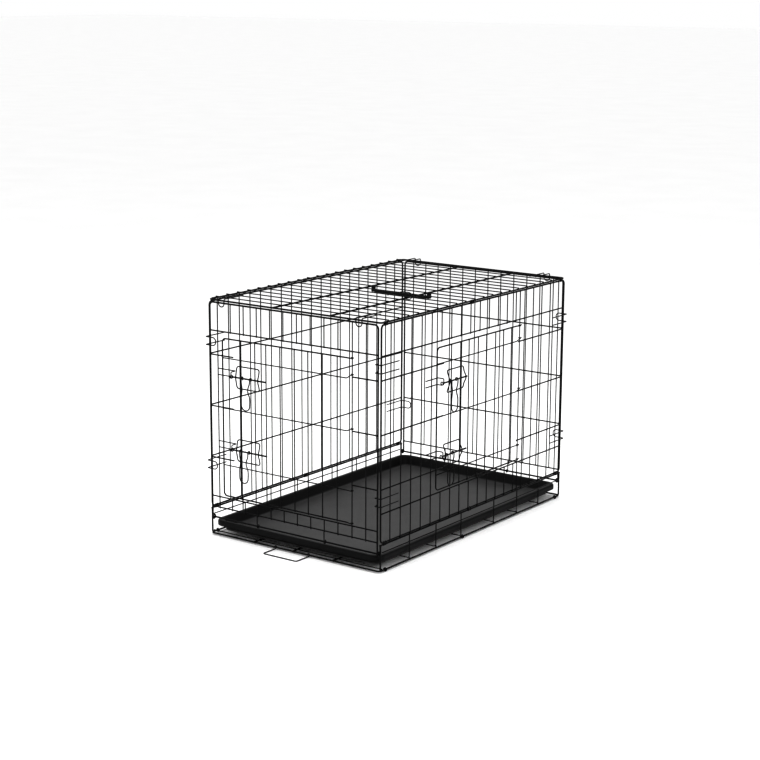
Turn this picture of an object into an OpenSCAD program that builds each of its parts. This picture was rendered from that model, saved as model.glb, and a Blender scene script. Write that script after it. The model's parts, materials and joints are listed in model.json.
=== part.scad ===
// Folding wire dog crate with two hinged doors, slide-bolt latches,
// a plastic floor tray and a carrying grip.
// Frame: origin on the ground under the middle of the floor, +Z up,
// front short end towards -Y, side door towards +X. Millimetres.

/* [Overall] */
// width over the long side panels, centre of edge wire to centre of edge wire
crate_w = 476; // [380:2:560]
// full length of the floor frame
crate_l = 752; // [600:2:900]
// height of the top panel's edge wires
crate_h = 545.4; // [420:0.2:660]

/* [Wire] */
// heavy wire of the panel frames
frame_d = 3.8; // [3:0.1:5]
// cross rails of the panels
rail_d = 3; // [2.2:0.1:3.6]
// thin upright wires
fill_d = 2.4; // [1.8:0.1:3]
// clearance left at butt welds
weld_gap = 0.05; // [0.02:0.01:0.2]
// outline radius of the frame corners
corner_r = 9; // [6:0.5:14]

/* [Panels] */
// number of upright wires in an end panel
end_uprights = 12; // [8:1:16]
// spacing of the end panel uprights
end_pitch = 37.5; // [30:0.1:50]
// number of upright wires in a side panel
side_uprights = 19; // [14:1:24]
// spacing of the side panel uprights
side_pitch = 37.8; // [30:0.1:50]
// common rail levels of all four walls, low to high
rail_levels = [185, 304, 422]; // [100:1:500]

/* [Front door] */
// free edge, measured from the left
front_free = 46; // [30:0.5:80]
// hinge wire, measured from the left
front_hinge = 407.5; // [300:0.5:440]
// lower and upper edge of the door
front_low = 101; // [80:1:140]
front_high = 463; // [400:1:480]

/* [Side door] */
// free edge, measured from the front
side_free = 206.5; // [150:0.5:260]
// hinge wire, measured from the front
side_hinge = 544.5; // [450:0.5:620]
// lower and upper edge of the door
side_low = 139.5; // [100:0.5:180]
side_high = 461; // [400:1:480]

/* [Latches] */
// bolt wire
bolt_d = 3.6; // [3:0.1:5]
// guide and handle wire
guide_d = 2.6; // [2:0.1:3.5]
// length of a bolt
bolt_l = 96; // [80:1:140]
// drop of the handle below its bolt
handle_drop = 72.5; // [50:0.5:90]
// length of a bolt guide
guide_l = 64.5; // [50:0.5:90]

/* [Tray] */
// outline over the rim, across and along
tray_w = 468; // [400:1:470]
tray_l = 744; // [650:1:746]
// sheet thickness
tray_t = 2.2; // [1.5:0.1:3]

/* [Grip] */
// length between the two carrying wires
grip_l = 157.5; // [120:0.5:180]
// width of the grip
grip_w = 18; // [14:1:30]

/* [Hidden] */
$fn = 32;
g = weld_gap;
fr = frame_d / 2;
rr = rail_d / 2;
tr = fill_d / 2;
br = bolt_d / 2;
gr = guide_d / 2;
run = 0.35;
// planes, as distances from the middle of the crate
side_x = crate_w / 2;
half_l = crate_l / 2;
floor_x = side_x;
floor_y = half_l - 2;
side_end = half_l - 6;
hinge_y = half_l - 6;
end_y = hinge_y + 4.15;
post_x = side_x - 5;
// heights
floor_z = 4.7;
cross_z = floor_z + fr + tr + g;
hinge_z = 42.4;
sill_z = 62.2;
side_low_z = sill_z + 4.4;
side_top_z = crate_h - 4.4;
end_top_z = side_top_z;
// layers of a panel, outwards from its frame plane
up_o = fr + tr + g;
rail_o = up_o - tr - rr - g;
door_o = rail_o + rr + run + 1.6;
door_up_o = door_o + 1.6 + tr + g;
door_rail_o = door_up_o - 2 * tr - g;
bolt_o = door_up_o + tr + 0.55 + 2 * gr + br;
guide_o = door_up_o + tr + gr + g;
over_o = bolt_o + br + 0.3 + gr;
door_fr = 1.6;
clip_s = [21, 347, 731];
hook_y = end_y + fr + 0.3 + tr;
leg_s = [113.3, 215.4, 315.5, 452.3, 552.5, 649.6];
grip_x = 22.5;
runners = [grip_x - grip_l / 2, grip_x + grip_l / 2];
top_n = 20;
top_pitch = 36.42;
top_wire_z = crate_h + fr + tr + g;
front_bolt_z = [381.4, 214.4];
front_guide_u = 92.3;
front_eye_u = 79.4;
front_grab_u = [110, 103.2];
side_bolt_z = [382, 216.4];
side_guide_u = [236.7, 225.3];
side_eye_u = 213.9;
side_grab_u = [246.7, 235.2];
bolt_gap = 2.4;
right_hook_z = [158.4, 448.3];
left_hook_z = [166.3, 451.8];
BLACK = [0.05, 0.05, 0.055];
STEEL = [0.09, 0.09, 0.1];
PLASTIC = [0.07, 0.07, 0.075];

// ---------- wire helpers ----------

// straight wire along x, y or z
module wx(x0, x1, y, z, d) {
    translate([x0, y, z]) rotate([0, 90, 0]) cylinder(h = x1 - x0, d = d);
}

module wy(x, y0, y1, z, d) {
    translate([x, y1, z]) rotate([90, 0, 0]) cylinder(h = y1 - y0, d = d);
}

module wz(x, y, z0, z1, d) {
    translate([x, y, z0]) cylinder(h = z1 - z0, d = d);
}

// straight wire between two points, shortened by cut at each end
module wire(a, b, d, cut = 0) {
    v = b - a;
    n = norm(v);
    translate(a)
        rotate([0, acos(v[2] / n), atan2(v[1], v[0])])
            translate([0, 0, cut]) cylinder(h = n - 2 * cut, d = d);
}

// bend in the xz plane about point c, from angle a0 through sweep
module bend_xz(c, r, d, a0, sweep) {
    translate(c) rotate([90, 0, 0]) rotate([0, 0, a0])
        rotate_extrude(angle = sweep) translate([r, 0]) circle(d = d);
}

// bend in the yz plane about point c, angle 0 towards +y
module bend_yz(c, r, d, a0, sweep) {
    translate(c) rotate([90, 0, 90]) rotate([0, 0, a0])
        rotate_extrude(angle = sweep) translate([r, 0]) circle(d = d);
}

// bend in the xy plane about point c
module bend_xy(c, r, d, a0, sweep) {
    translate(c) rotate([0, 0, a0])
        rotate_extrude(angle = sweep) translate([r, 0]) circle(d = d);
}

// rounded rectangular frame of wire in the xz plane at y
module frame_xz(x0, x1, z0, z1, y, d, r) {
    e = r + g;
    wx(x0 + e, x1 - e, y, z0, d);
    wx(x0 + e, x1 - e, y, z1, d);
    wz(x0, y, z0 + e, z1 - e, d);
    wz(x1, y, z0 + e, z1 - e, d);
    bend_xz([x0 + r, y, z0 + r], r, d, 180, 90);
    bend_xz([x1 - r, y, z0 + r], r, d, 270, 90);
    bend_xz([x1 - r, y, z1 - r], r, d, 0, 90);
    bend_xz([x0 + r, y, z1 - r], r, d, 90, 90);
}

// rounded rectangular frame of wire lying flat at z
module frame_xy(x, y, z, d, r) {
    e = r + g;
    for (s = [-1, 1]) {
        wx(-x + e, x - e, s * y, z, d);
        wy(s * x, -y + e, y - e, z, d);
    }
    bend_xy([x - r, y - r, z], r, d, 0, 90);
    bend_xy([-x + r, y - r, z], r, d, 90, 90);
    bend_xy([-x + r, -y + r, z], r, d, 180, 90);
    bend_xy([x - r, -y + r, z], r, d, 270, 90);
}

// crimped clip round two parallel wires that run along y, one above the other
module clip(x, y, z) {
    w = 8;
    translate([x, y + w / 2, z]) rotate([90, 0, 0])
        linear_extrude(height = w) difference() {
            union() {
                circle(r = 2.8);
                translate([0, 4.4]) circle(r = 2.8);
                translate([-2.8, 0]) square([5.6, 4.4]);
            }
            circle(r = 2.25);
            translate([0, 4.4]) circle(r = 2.25);
            translate([-2.25, 0]) square([4.5, 4.4]);
        }
}

module clips(x, z) {
    for (s = clip_s) clip(x, s - half_l, z);
}

// panel coordinates: x along the panel, -y outwards
module on_front() {
    translate([-half_w(), 0, 0]) children();
}

module on_right() {
    translate([0, -half_l, 0]) rotate([0, 0, 90]) children();
}

function half_w() = side_x + 2;

// ---------- floor ----------

module floor_frame() color(BLACK) {
    frame_xy(floor_x, floor_y, floor_z, frame_d, 8);
    for (x = [-112, 0, 112]) wy(x, -floor_y + fr + g, floor_y - fr - g, floor_z, frame_d);
}

module floor_cross_wires() color(BLACK) {
    for (s = leg_s) {
        wx(-side_x - tr, side_x + tr, s - half_l, cross_z, fill_d);
        for (k = [-1, 1]) wz(k * side_x, s - half_l, cross_z + tr + g, sill_z - fr - g, fill_d);
    }
    for (k = [-1, 1]) wx(-side_x - tr, side_x + tr, k * (half_l - 12), cross_z, fill_d);
}

module floor_sills() color(BLACK) {
    for (k = [-1, 1]) {
        wy(k * side_x, -side_end - fr, side_end + fr, sill_z, frame_d);
        wy(k * (side_x + 2 * tr + g), -side_end + 3, side_end - 3, 46.3, fill_d);
        wx(-side_x + fr + g, side_x - fr - g, k * hinge_y, hinge_z, frame_d);
        for (m = [-1, 1])
            wz(m * side_x, k * side_end, floor_z + fr + g, sill_z - fr - g, frame_d);
    }
}

// small wire loops round the floor wire: the crate stands on them
module floor_foot_loops() color(BLACK) {
    for (k = [-1, 1])
        for (m = [-1, 1])
            bend_xz([k * floor_x, m * 352, floor_z], 3.4, 2.6, 0, 360);
    for (k = [-1, 1]) bend_xz([k * floor_x, -54, floor_z], 3.4, 2.6, 0, 360);
}

module sill_clips() color(STEEL) {
    clips(side_x, sill_z);
}

// ---------- long side panels ----------

// frame of a side panel, in panel coordinates
module side_panel_frame() {
    frame_xz(half_l - side_end, half_l + side_end, side_low_z, side_top_z, -side_x, frame_d, corner_r);
}

module side_rail(s0, s1, z) {
    wx(s0, s1, -side_x - rail_o, z, rail_d);
}

module side_upright(k, z0, z1) {
    wz(35.9 + side_pitch * k, -side_x - up_o, z0, z1, fill_d);
}

s_first = half_l - side_end + fr + g;
s_last = half_l + side_end - fr - g;
up_low = side_low_z - 1;

module right_frame() color(BLACK) {
    on_right() side_panel_frame();
}

module right_grid() color(BLACK) {
    on_right() {
        side_rail(s_first, s_last, 474);
        side_rail(s_first, s_last, 131.5);
        for (z = rail_levels) {
            side_rail(s_first, side_free + 31, z);
            side_rail(side_hinge - 1, s_last, z);
        }
        for (k = [0 : side_uprights - 1]) {
            s = 35.9 + side_pitch * k;
            if (s > side_free - 15 && s < side_hinge + 8) {
                side_upright(k, up_low, 131.5 + rr);
                side_upright(k, 474 - rr, side_top_z);
            } else {
                side_upright(k, up_low, side_top_z);
            }
        }
    }
}

module right_door_post() color(BLACK) {
    on_right() wz(side_hinge, -side_x - up_o, up_low, side_top_z, fill_d);
}

module left_frame() color(BLACK) {
    mirror([1, 0, 0]) on_right() side_panel_frame();
}

module left_grid() color(BLACK) {
    mirror([1, 0, 0]) on_right() {
        for (z = rail_levels) side_rail(s_first, s_last, z);
        for (k = [0 : side_uprights - 1]) side_upright(k, up_low, side_top_z);
    }
}

module right_top_clips() color(STEEL) {
    clips(side_x, side_top_z);
}

module left_sill_clips() color(STEEL) {
    clips(-side_x, sill_z);
}

// one bent hook of a side panel that reaches round the end panel's post
module end_hook(z) {
    x1 = side_x - 15;
    hook_legs(z, x1);
    bend_xz([x1, -hook_y, z], 9, fill_d, 90, 180);
}

// the same hook with its nose turned in beside the post
module turned_hook(z) {
    x1 = side_x - 10;
    hook_legs(z, x1 + 3);
    for (k = [-9, 9]) bend_xy([x1 + 3, -hook_y + 3, z + k], 3, fill_d, 180, 90);
    bend_yz([x1, -hook_y + 3 + g, z], 9, fill_d, -90, 180);
}

// the two legs of a hook, bent round the corner of the crate
module hook_legs(z, x1) {
    o = side_x + up_o + 2 * tr + g;
    for (k = [-9, 9]) {
        wy(o, -hook_y + 3 + g, -313, z + k, fill_d);
        bend_xy([o - 3, -hook_y + 3, z + k], 3, fill_d, 270, 90);
        wx(x1 + g, o - 3 - g, -hook_y, z + k, fill_d);
    }
}

module right_end_hooks() color(BLACK) {
    for (z = right_hook_z) {
        turned_hook(z);
        mirror([0, 1, 0]) end_hook(z);
    }
}

module left_end_hooks() color(BLACK) {
    for (k = [0, 1])
        mirror([1, 0, 0]) mirror([0, k, 0])
            for (z = left_hook_z) end_hook(z);
}

// ---------- top panel ----------

module top_frame() color(BLACK) {
    frame_xy(side_x, side_end, crate_h, frame_d, 8);
}

module top_runners() color(BLACK) {
    for (x = runners)
        wy(x, -side_end + fr + g, side_end - fr - g, crate_h, frame_d);
}

module top_grid() color(BLACK) {
    for (k = [0 : top_n - 1])
        wx(-side_x - fr, side_x + fr, top_pitch * (k - (top_n - 1) / 2), top_wire_z, fill_d);
}

module top_left_clips() color(STEEL) {
    clips(-side_x, side_top_z);
}

// flat hook of the top panel that drops in front of the end panel's top wire
module top_hook(x) {
    z = top_wire_z + 2 * tr + g;
    y1 = end_y + fr + 0.4 + tr;
    for (k = [-8, 8]) {
        wy(x + k, -y1 + 3 + g, -312, z, fill_d);
        bend_yz([x + k, -y1 + 3, z - 3], 3, fill_d, 90, 90);
        wz(x + k, -y1, 541 + g, z - 3 - g, fill_d);
    }
    bend_xz([x, -y1, 541], 8, fill_d, 180, 180);
}

module top_end_hooks() color(BLACK) {
    for (k = [0, 1])
        mirror([0, k, 0])
            for (x = [-196, 185]) top_hook(x);
}

module carry_grip() color(PLASTIC) {
    h = 7;
    zc = crate_h - 11;
    x0 = runners[0] + 2;
    x1 = runners[1] - 2;
    difference() {
        union() {
            translate([x0, -grip_w / 2 + h / 2, zc - h / 2]) cube([x1 - x0, grip_w - h, h]);
            for (k = [-1, 1]) wx(x0, x1, k * (grip_w / 2 - h / 2), zc, h);
            for (x = runners) translate([x - 3.2, -5, zc - h / 2]) cube([6.4, 10, crate_h + 3 - zc + h / 2]);
        }
        for (x = runners) wy(x, -20, 20, crate_h, frame_d + 0.2);
    }
}

// ---------- end panels ----------

module end_frame() {
    e = corner_r + g;
    for (k = [-1, 1]) wz(k * post_x, -end_y, hinge_z + g, end_top_z - e, frame_d);
    wx(-post_x + e, post_x - e, -end_y, end_top_z, frame_d);
    bend_xz([post_x - corner_r, -end_y, end_top_z - corner_r], corner_r, frame_d, 0, 90);
    bend_xz([-post_x + corner_r, -end_y, end_top_z - corner_r], corner_r, frame_d, 90, 90);
}

u_first = half_w() - post_x + fr + g;
u_last = half_w() + post_x - fr - g;

module end_rail(u0, u1, z) {
    wx(u0, u1, -end_y - rail_o, z, rail_d);
}

module end_upright(k, z0, z1) {
    wz(31.8 + end_pitch * k, -end_y - up_o, z0, z1, fill_d);
}

module front_frame() color(BLACK) {
    end_frame();
}

module front_grid() color(BLACK) {
    on_front() {
        for (z = [69, 94, 477]) end_rail(u_first, u_last, z);
        for (z = rail_levels) {
            end_rail(u_first, front_free + 28, z);
            end_rail(front_hinge - 1, u_last, z);
        }
        for (k = [0 : end_uprights - 1]) {
            if (k == 0 || k == end_uprights - 1) {
                end_upright(k, 67, end_top_z);
            } else if (k != 10) {
                end_upright(k, 67, 94 + rr);
                end_upright(k, 477 - rr, end_top_z);
            }
        }
    }
}

module front_door_post() color(BLACK) {
    on_front() wz(front_hinge, -end_y - up_o, 67, end_top_z, fill_d);
}

// open eyes at the foot of an end panel: it swings on the floor's end wire
module pivot_hooks() {
    for (k = [-1, 1]) bend_yz([k * post_x, -hinge_y, hinge_z], 4.15, frame_d, 180, 270);
    for (x = [-102, 88]) {
        bend_yz([x, -hinge_y, hinge_z], fr + run + tr, fill_d, 180, 270);
        wz(x, -hinge_y - fr - run - tr, hinge_z + g, 69 - rr - g, fill_d);
    }
}

module front_pivot_hooks() color(BLACK) {
    pivot_hooks();
}

module back_frame() color(BLACK) {
    mirror([0, 1, 0]) end_frame();
}

module back_grid() color(BLACK) {
    mirror([0, 1, 0]) on_front() {
        for (z = concat([69], rail_levels)) end_rail(u_first, u_last, z);
        for (k = [0 : end_uprights - 1]) end_upright(k, 67, end_top_z);
    }
}

module back_pivot_hooks() color(BLACK) {
    mirror([0, 1, 0]) pivot_hooks();
}

// ---------- doors, in panel coordinates, p is the frame plane ----------

module door_frame(p, u0, u1, z0, z1) {
    r = 9;
    d = 2 * door_fr;
    y = -p - door_o;
    u2 = u1 - 3.6 - g;
    wz(u0, y, z0 + r + g, z1 - r - g, d);
    wx(u0 + r + g, u2, y, z0, d);
    wx(u0 + r + g, u2, y, z1, d);
    bend_xz([u0 + r, y, z0 + r], r, d, 180, 90);
    bend_xz([u0 + r, y, z1 - r], r, d, 90, 90);
}

module door_rails(p, u0, u1, levels) {
    for (z = levels) wx(u0 + door_fr + g, u1 - 3.6 - g, -p - door_rail_o, z, fill_d);
}

module door_uprights(p, us, z0, z1) {
    for (u = us) wz(u, -p - door_up_o, z0 - door_fr, z1 + door_fr, fill_d);
}

// coils of the door's rails round the hinge wire
module knuckles(p, u, levels) {
    for (z = levels)
        translate([u, -p - up_o, z - 2.5]) difference() {
            cylinder(h = 5, r = 3.6);
            translate([0, 0, -1]) cylinder(h = 7, r = tr + run);
        }
}

// waisted wire guide that holds a bolt against the door
module guide(p, u0, u1, z) {
    y0 = -p - guide_o;
    y1 = -p - over_o;
    for (k = [-25, 25]) wx(u0 + 1, u1 - 1, y0, z + k, guide_d);
    for (s = [[u0, u0 + 2], [u1, u1 + 1]])
        for (k = [-1, 1]) {
            wire([s[0], y0, z + k * 25], [s[1], y1, z + k * 3], guide_d, 1.6);
        }
    for (u = [u0 + 2, u1 + 1]) wz(u, y1, z - 2.5, z + 2.5, guide_d);
}

// keeper bent from the frame: two legs behind the door's edge, then an eye
module strike(p, u0, u1, z) {
    yi = -p - up_o + 2 * tr + g;
    ye = -p - bolt_o;
    r = br + 0.4 + tr;
    for (k = [-r, 11]) {
        wx(u0 - tr, u1 - tr - g, yi, z + k, fill_d);
        wy(u1, ye + tr + g, yi + tr, z + k, fill_d);
    }
    wz(u1, ye, z + r + tr + g, z + 11 + tr, fill_d);
    bend_yz([u1, ye, z], r, fill_d, 0, 360);
}

module bolt(p, u, z) {
    wx(u, u + bolt_l, -p - bolt_o, z, bolt_d);
}

// U handle that hangs on the bolt by two small hooked ends
module handle(p, u, z) {
    y = -p - bolt_o;
    r = br + 0.25 + gr;
    for (k = [0, 24]) {
        bend_yz([u + k, y, z], r, guide_d, -90, 270);
        wz(u + k, y - r, z - handle_drop + 12 + gr + g, z - g, guide_d);
    }
    bend_xz([u + 12, y - r, z - handle_drop + 12 + gr], 12, guide_d, 180, 180);
}

module front_door_frame() color(BLACK) {
    on_front() door_frame(end_y, front_free, front_hinge, front_low, front_high);
}

module front_door_grid() color(BLACK) {
    on_front() {
        door_rails(end_y, front_free, front_hinge, [173, 304, 419]);
        door_uprights(end_y, [102, 142, 173.5, 213, 253, 290.5, 330, 370], front_low, front_high);
    }
}

module front_door_knuckles() color(BLACK) {
    on_front() knuckles(end_y, front_hinge, [101, 174, 310, 428, 464]);
}

module front_door_guides() color(BLACK) {
    on_front() for (z = front_bolt_z) guide(end_y, front_guide_u, front_guide_u + guide_l, z);
}

module front_strikes() color(BLACK) {
    on_front() for (z = front_bolt_z) strike(end_y, 31.8, front_eye_u, z);
}

module side_door_frame() color(BLACK) {
    on_right() door_frame(side_x, side_free, side_hinge, side_low, side_high);
}

module side_door_grid() color(BLACK) {
    on_right() {
        door_rails(side_x, side_free, side_hinge, [175, 305, 425]);
        door_uprights(side_x, [258, 294, 327.5, 365, 399, 436.5, 470, 504], side_low, side_high);
    }
}

module side_door_knuckles() color(BLACK) {
    on_right() knuckles(side_x, side_hinge, [140.5, 175, 311, 431, 461]);
}

module side_door_guides() color(BLACK) {
    on_right() for (i = [0, 1])
        guide(side_x, side_guide_u[i], side_guide_u[i] + guide_l, side_bolt_z[i]);
}

module right_strikes() color(BLACK) {
    on_right() for (z = side_bolt_z) strike(side_x, 169.8, side_eye_u, z);
}

// ---------- bolts and their handles ----------

module front_upper_bolt() color(STEEL) {
    on_front() bolt(end_y, front_eye_u + bolt_gap, front_bolt_z[0]);
}

module front_lower_bolt() color(STEEL) {
    on_front() bolt(end_y, front_eye_u + bolt_gap, front_bolt_z[1]);
}

module side_upper_bolt() color(STEEL) {
    on_right() bolt(side_x, side_eye_u + bolt_gap, side_bolt_z[0]);
}

module side_lower_bolt() color(STEEL) {
    on_right() bolt(side_x, side_eye_u + bolt_gap, side_bolt_z[1]);
}

module front_upper_handle() color(BLACK) {
    on_front() handle(end_y, front_grab_u[0], front_bolt_z[0]);
}

module front_lower_handle() color(BLACK) {
    on_front() handle(end_y, front_grab_u[1], front_bolt_z[1]);
}

module side_upper_handle() color(BLACK) {
    on_right() handle(side_x, side_grab_u[0], side_bolt_z[0]);
}

module side_lower_handle() color(BLACK) {
    on_right() handle(side_x, side_grab_u[1], side_bolt_z[1]);
}

// ---------- tray and its stop ----------

module round_rect(w, l, r) {
    square([w - 2 * r, l], center = true);
    square([w, l - 2 * r], center = true);
    for (i = [-1, 1])
        for (j = [-1, 1]) translate([i * (w / 2 - r), j * (l / 2 - r)]) circle(r = r);
}

module floor_tray() color(PLASTIC) {
    z0 = 9.7;
    z1 = 35.5;
    inset = 12;
    difference() {
        union() {
            translate([0, 0, z0]) linear_extrude(height = z1 - z0 - 2.5)
                round_rect(tray_w - 2 * inset, tray_l - 2 * inset, 18);
            translate([0, 0, z1 - 4.5]) linear_extrude(height = 4.5)
                round_rect(tray_w, tray_l, 26);
        }
        translate([0, 0, z0 + tray_t]) linear_extrude(height = z1)
            round_rect(tray_w - 2 * inset - 2 * tray_t, tray_l - 2 * inset - 2 * tray_t, 16);
    }
}

// wire stop that swings on the front floor wire, lying flat in front of it
module pan_stop() color(BLACK) {
    r = fr + 0.3 + tr;
    z = floor_z - r;
    y1 = -floor_y - 43;
    for (x = [-49, 45]) {
        bend_yz([x, -floor_y, floor_z], r, fill_d, -90, 270);
        wy(x, y1 + 5 + g, -floor_y - g, z, fill_d);
    }
    wx(-44 + g, 40 - g, y1, z, fill_d);
    bend_xy([-44, y1 + 5, z], 5, fill_d, 180, 90);
    bend_xy([40, y1 + 5, z], 5, fill_d, 270, 90);
}

floor_frame();
floor_cross_wires();
floor_sills();
floor_foot_loops();
sill_clips();
right_frame();
right_grid();
right_door_post();
right_strikes();
right_top_clips();
right_end_hooks();
left_frame();
left_grid();
left_sill_clips();
left_end_hooks();
top_frame();
top_runners();
top_grid();
top_left_clips();
top_end_hooks();
carry_grip();
front_frame();
front_grid();
front_door_post();
front_strikes();
front_pivot_hooks();
back_frame();
back_grid();
back_pivot_hooks();
front_door_frame();
front_door_grid();
front_door_knuckles();
front_door_guides();
side_door_frame();
side_door_grid();
side_door_knuckles();
side_door_guides();
front_upper_bolt();
front_lower_bolt();
side_upper_bolt();
side_lower_bolt();
front_upper_handle();
front_lower_handle();
side_upper_handle();
side_lower_handle();
floor_tray();
pan_stop();
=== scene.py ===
# Looks of a folding wire dog crate: powder-coated wire panels, slide-bolt latches,
# a moulded floor tray and a carrying grip, standing on a white studio floor.
# Metres, in the frame of the CAD model: +Z up, front end towards -Y, side door towards +X.
# The wires' centre lines are read back from the CAD nodes. This script adds what only the
# looks need: continuous bends, coils, curls, crimps, weld beads and the tray's rolled rim.
import json
import math
from collections import namedtuple

import bpy
import numpy as np
from mathutils import Matrix, Quaternion, Vector


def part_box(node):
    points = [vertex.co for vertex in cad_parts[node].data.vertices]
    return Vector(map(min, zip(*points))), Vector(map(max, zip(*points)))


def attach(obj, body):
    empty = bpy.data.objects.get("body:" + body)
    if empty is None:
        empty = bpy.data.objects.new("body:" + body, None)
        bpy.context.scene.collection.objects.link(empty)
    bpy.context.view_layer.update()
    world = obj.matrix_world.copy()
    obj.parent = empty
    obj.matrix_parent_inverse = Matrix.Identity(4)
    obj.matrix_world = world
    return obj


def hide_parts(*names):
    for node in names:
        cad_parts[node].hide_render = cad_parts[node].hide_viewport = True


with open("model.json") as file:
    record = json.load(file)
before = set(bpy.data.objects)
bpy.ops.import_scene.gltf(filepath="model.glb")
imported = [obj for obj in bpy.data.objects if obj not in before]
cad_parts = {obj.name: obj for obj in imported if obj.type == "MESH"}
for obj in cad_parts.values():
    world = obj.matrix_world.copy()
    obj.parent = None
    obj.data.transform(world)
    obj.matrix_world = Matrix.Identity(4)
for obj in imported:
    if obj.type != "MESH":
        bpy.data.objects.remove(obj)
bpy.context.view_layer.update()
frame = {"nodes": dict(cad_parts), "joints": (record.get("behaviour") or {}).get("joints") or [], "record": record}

MM = 0.001
UP = Vector((0, 0, 1))
BODY = {n: b for b, nodes in frame["record"]["behaviour"]["bodies"].items() for n in nodes}
AXIS = {j["name"]: Vector(j["pos_m"]) for j in frame["joints"] if j["type"] == "hinge"}

WELD_GAP = 0.05 * MM  # room that the CAD wires leave where they meet end to end
WELD_SLACK = 0.3 * MM  # wires closer than this, surface to surface, are welded
ARC_STEP = 0.22  # radians between the points of a bend
NEARLY_STRAIGHT = 1.55  # half angle, in radians, over which a corner isn't bent
HEAVY_SIDES = 12  # sides of a frame wire's section
GUIDE_RADIUS = 1.3 * MM  # wire of the bolt guides and handles
KEEPER_RADIUS = 1.2 * MM  # wire of the keepers

Wire = namedtuple("Wire", "start end radius axis")


# ---------- reading the CAD wires ----------

def solids(node):
    """The points of each separate solid of a CAD node."""
    mesh = frame["nodes"][node].data
    points = np.empty(len(mesh.vertices) * 3)
    mesh.vertices.foreach_get("co", points)
    edges = np.empty(len(mesh.edges) * 2, int)
    mesh.edges.foreach_get("vertices", edges)
    points, same = np.unique(points.reshape(-1, 3).round(6), axis=0, return_inverse=True)
    edges = same.ravel()[edges.reshape(-1, 2)]
    label = np.arange(len(points))
    while True:
        low = label[edges].min(1)
        found = label.copy()
        np.minimum.at(found, edges[:, 0], low)
        np.minimum.at(found, edges[:, 1], low)
        found = found[found]
        if (found == label).all():
            return [points[label == k] for k in np.unique(label)]
        label = found


def cad_wires(node):
    """(straight wires, points of each bend) of a CAD node."""
    straight, bends = [], []
    for points in solids(node):
        size = np.ptp(points, axis=0)
        axis = int(size.argmax())
        across = np.delete(size, axis)
        if size[axis] < 2.5 * across.max() or across.max() > 1.2 * across.min():
            bends.append(points)
            continue
        start = points.mean(0)
        end = start.copy()
        start[axis], end[axis] = points[:, axis].min(), points[:, axis].max()
        radius = np.linalg.norm(np.delete(points - start, axis, axis=1), axis=1).max()
        straight.append(Wire(Vector(start), Vector(end), float(radius), axis))
    return straight, bends


def arc_between(p, ahead, q):
    """Points on the arc that leaves p in the direction ahead and passes through q, without p and q."""
    chord = q - p
    turn = ahead.angle(chord)
    side = (chord - chord.dot(ahead) * ahead).normalized()
    radius = chord.length / 2 / math.sin(turn)
    centre = p + side * radius
    steps = math.ceil(2 * turn / ARC_STEP)
    angles = [2 * turn * k / steps for k in range(1, steps)]
    return [centre + radius * (ahead * math.sin(a) - side * math.cos(a)) for a in angles]


def joined(node):
    """The (points, closed, radius) of each continuous wire of a CAD node, through its bends."""
    straight, bends = cad_wires(node)
    ends = [(i, e) for i in range(len(straight)) for e in (0, 1)]
    link = {}
    for points in bends:
        met = []
        for i, e in ends:
            far = np.linalg.norm(points - np.array(straight[i][e]), axis=1)
            if (far < 1.04 * straight[i].radius + 0.06 * MM).sum() >= 4:
                met.append((i, e))
        if len(met) == 2:
            link[met[0]], link[met[1]] = met[1], met[0]
    paths, used = [], set()
    for i, e in [x for x in ends if x not in link] + ends:
        if i in used:
            continue
        points, closed, radius = [], False, straight[i].radius
        while i not in used:
            used.add(i)
            p, q = straight[i][e], straight[i][1 - e]
            points += [p, q]
            following = link.get((i, 1 - e))
            if following is None:
                break
            closed = following[0] in used
            i, e = following
            points += arc_between(q, (q - p).normalized(), straight[i][e])
        paths.append((points, closed, radius))
    return paths


# ---------- wire paths ----------

def bent(points, radii, closed=False):
    """A path with straight runs between points and a round bend at each inner corner."""
    points = [Vector(p) for p in points]
    count = len(points)
    if not isinstance(radii, (list, tuple)):
        radii = [radii] * count
    path = []
    for k, corner in enumerate(points):
        if not closed and k in (0, count - 1):
            path.append(corner)
            continue
        back, ahead = points[k - 1] - corner, points[(k + 1) % count] - corner
        half = back.angle(ahead) / 2
        if half > NEARLY_STRAIGHT:
            path.append(corner)
            continue
        cut = min(radii[k] / math.tan(half), 0.49 * back.length, 0.49 * ahead.length)
        p = corner + back.normalized() * cut
        q = corner + ahead.normalized() * cut
        path += [p, *arc_between(p, -back.normalized(), q), q]
    return path


def curve_through(points, steps=6):
    """A smooth curve through the points."""
    points = [Vector(p) for p in points]
    framed = [2 * points[0] - points[1], *points, 2 * points[-1] - points[-2]]
    path = []
    for a, b, c, d in zip(framed, framed[1:], framed[2:], framed[3:]):
        for k in range(steps):
            t = k / steps
            path.append(0.5 * (2 * b + (c - a) * t + (2 * a - 5 * b + 4 * c - d) * t**2
                               + (3 * b - a - 3 * c + d) * t**3))
    return path + [points[-1]]


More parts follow.
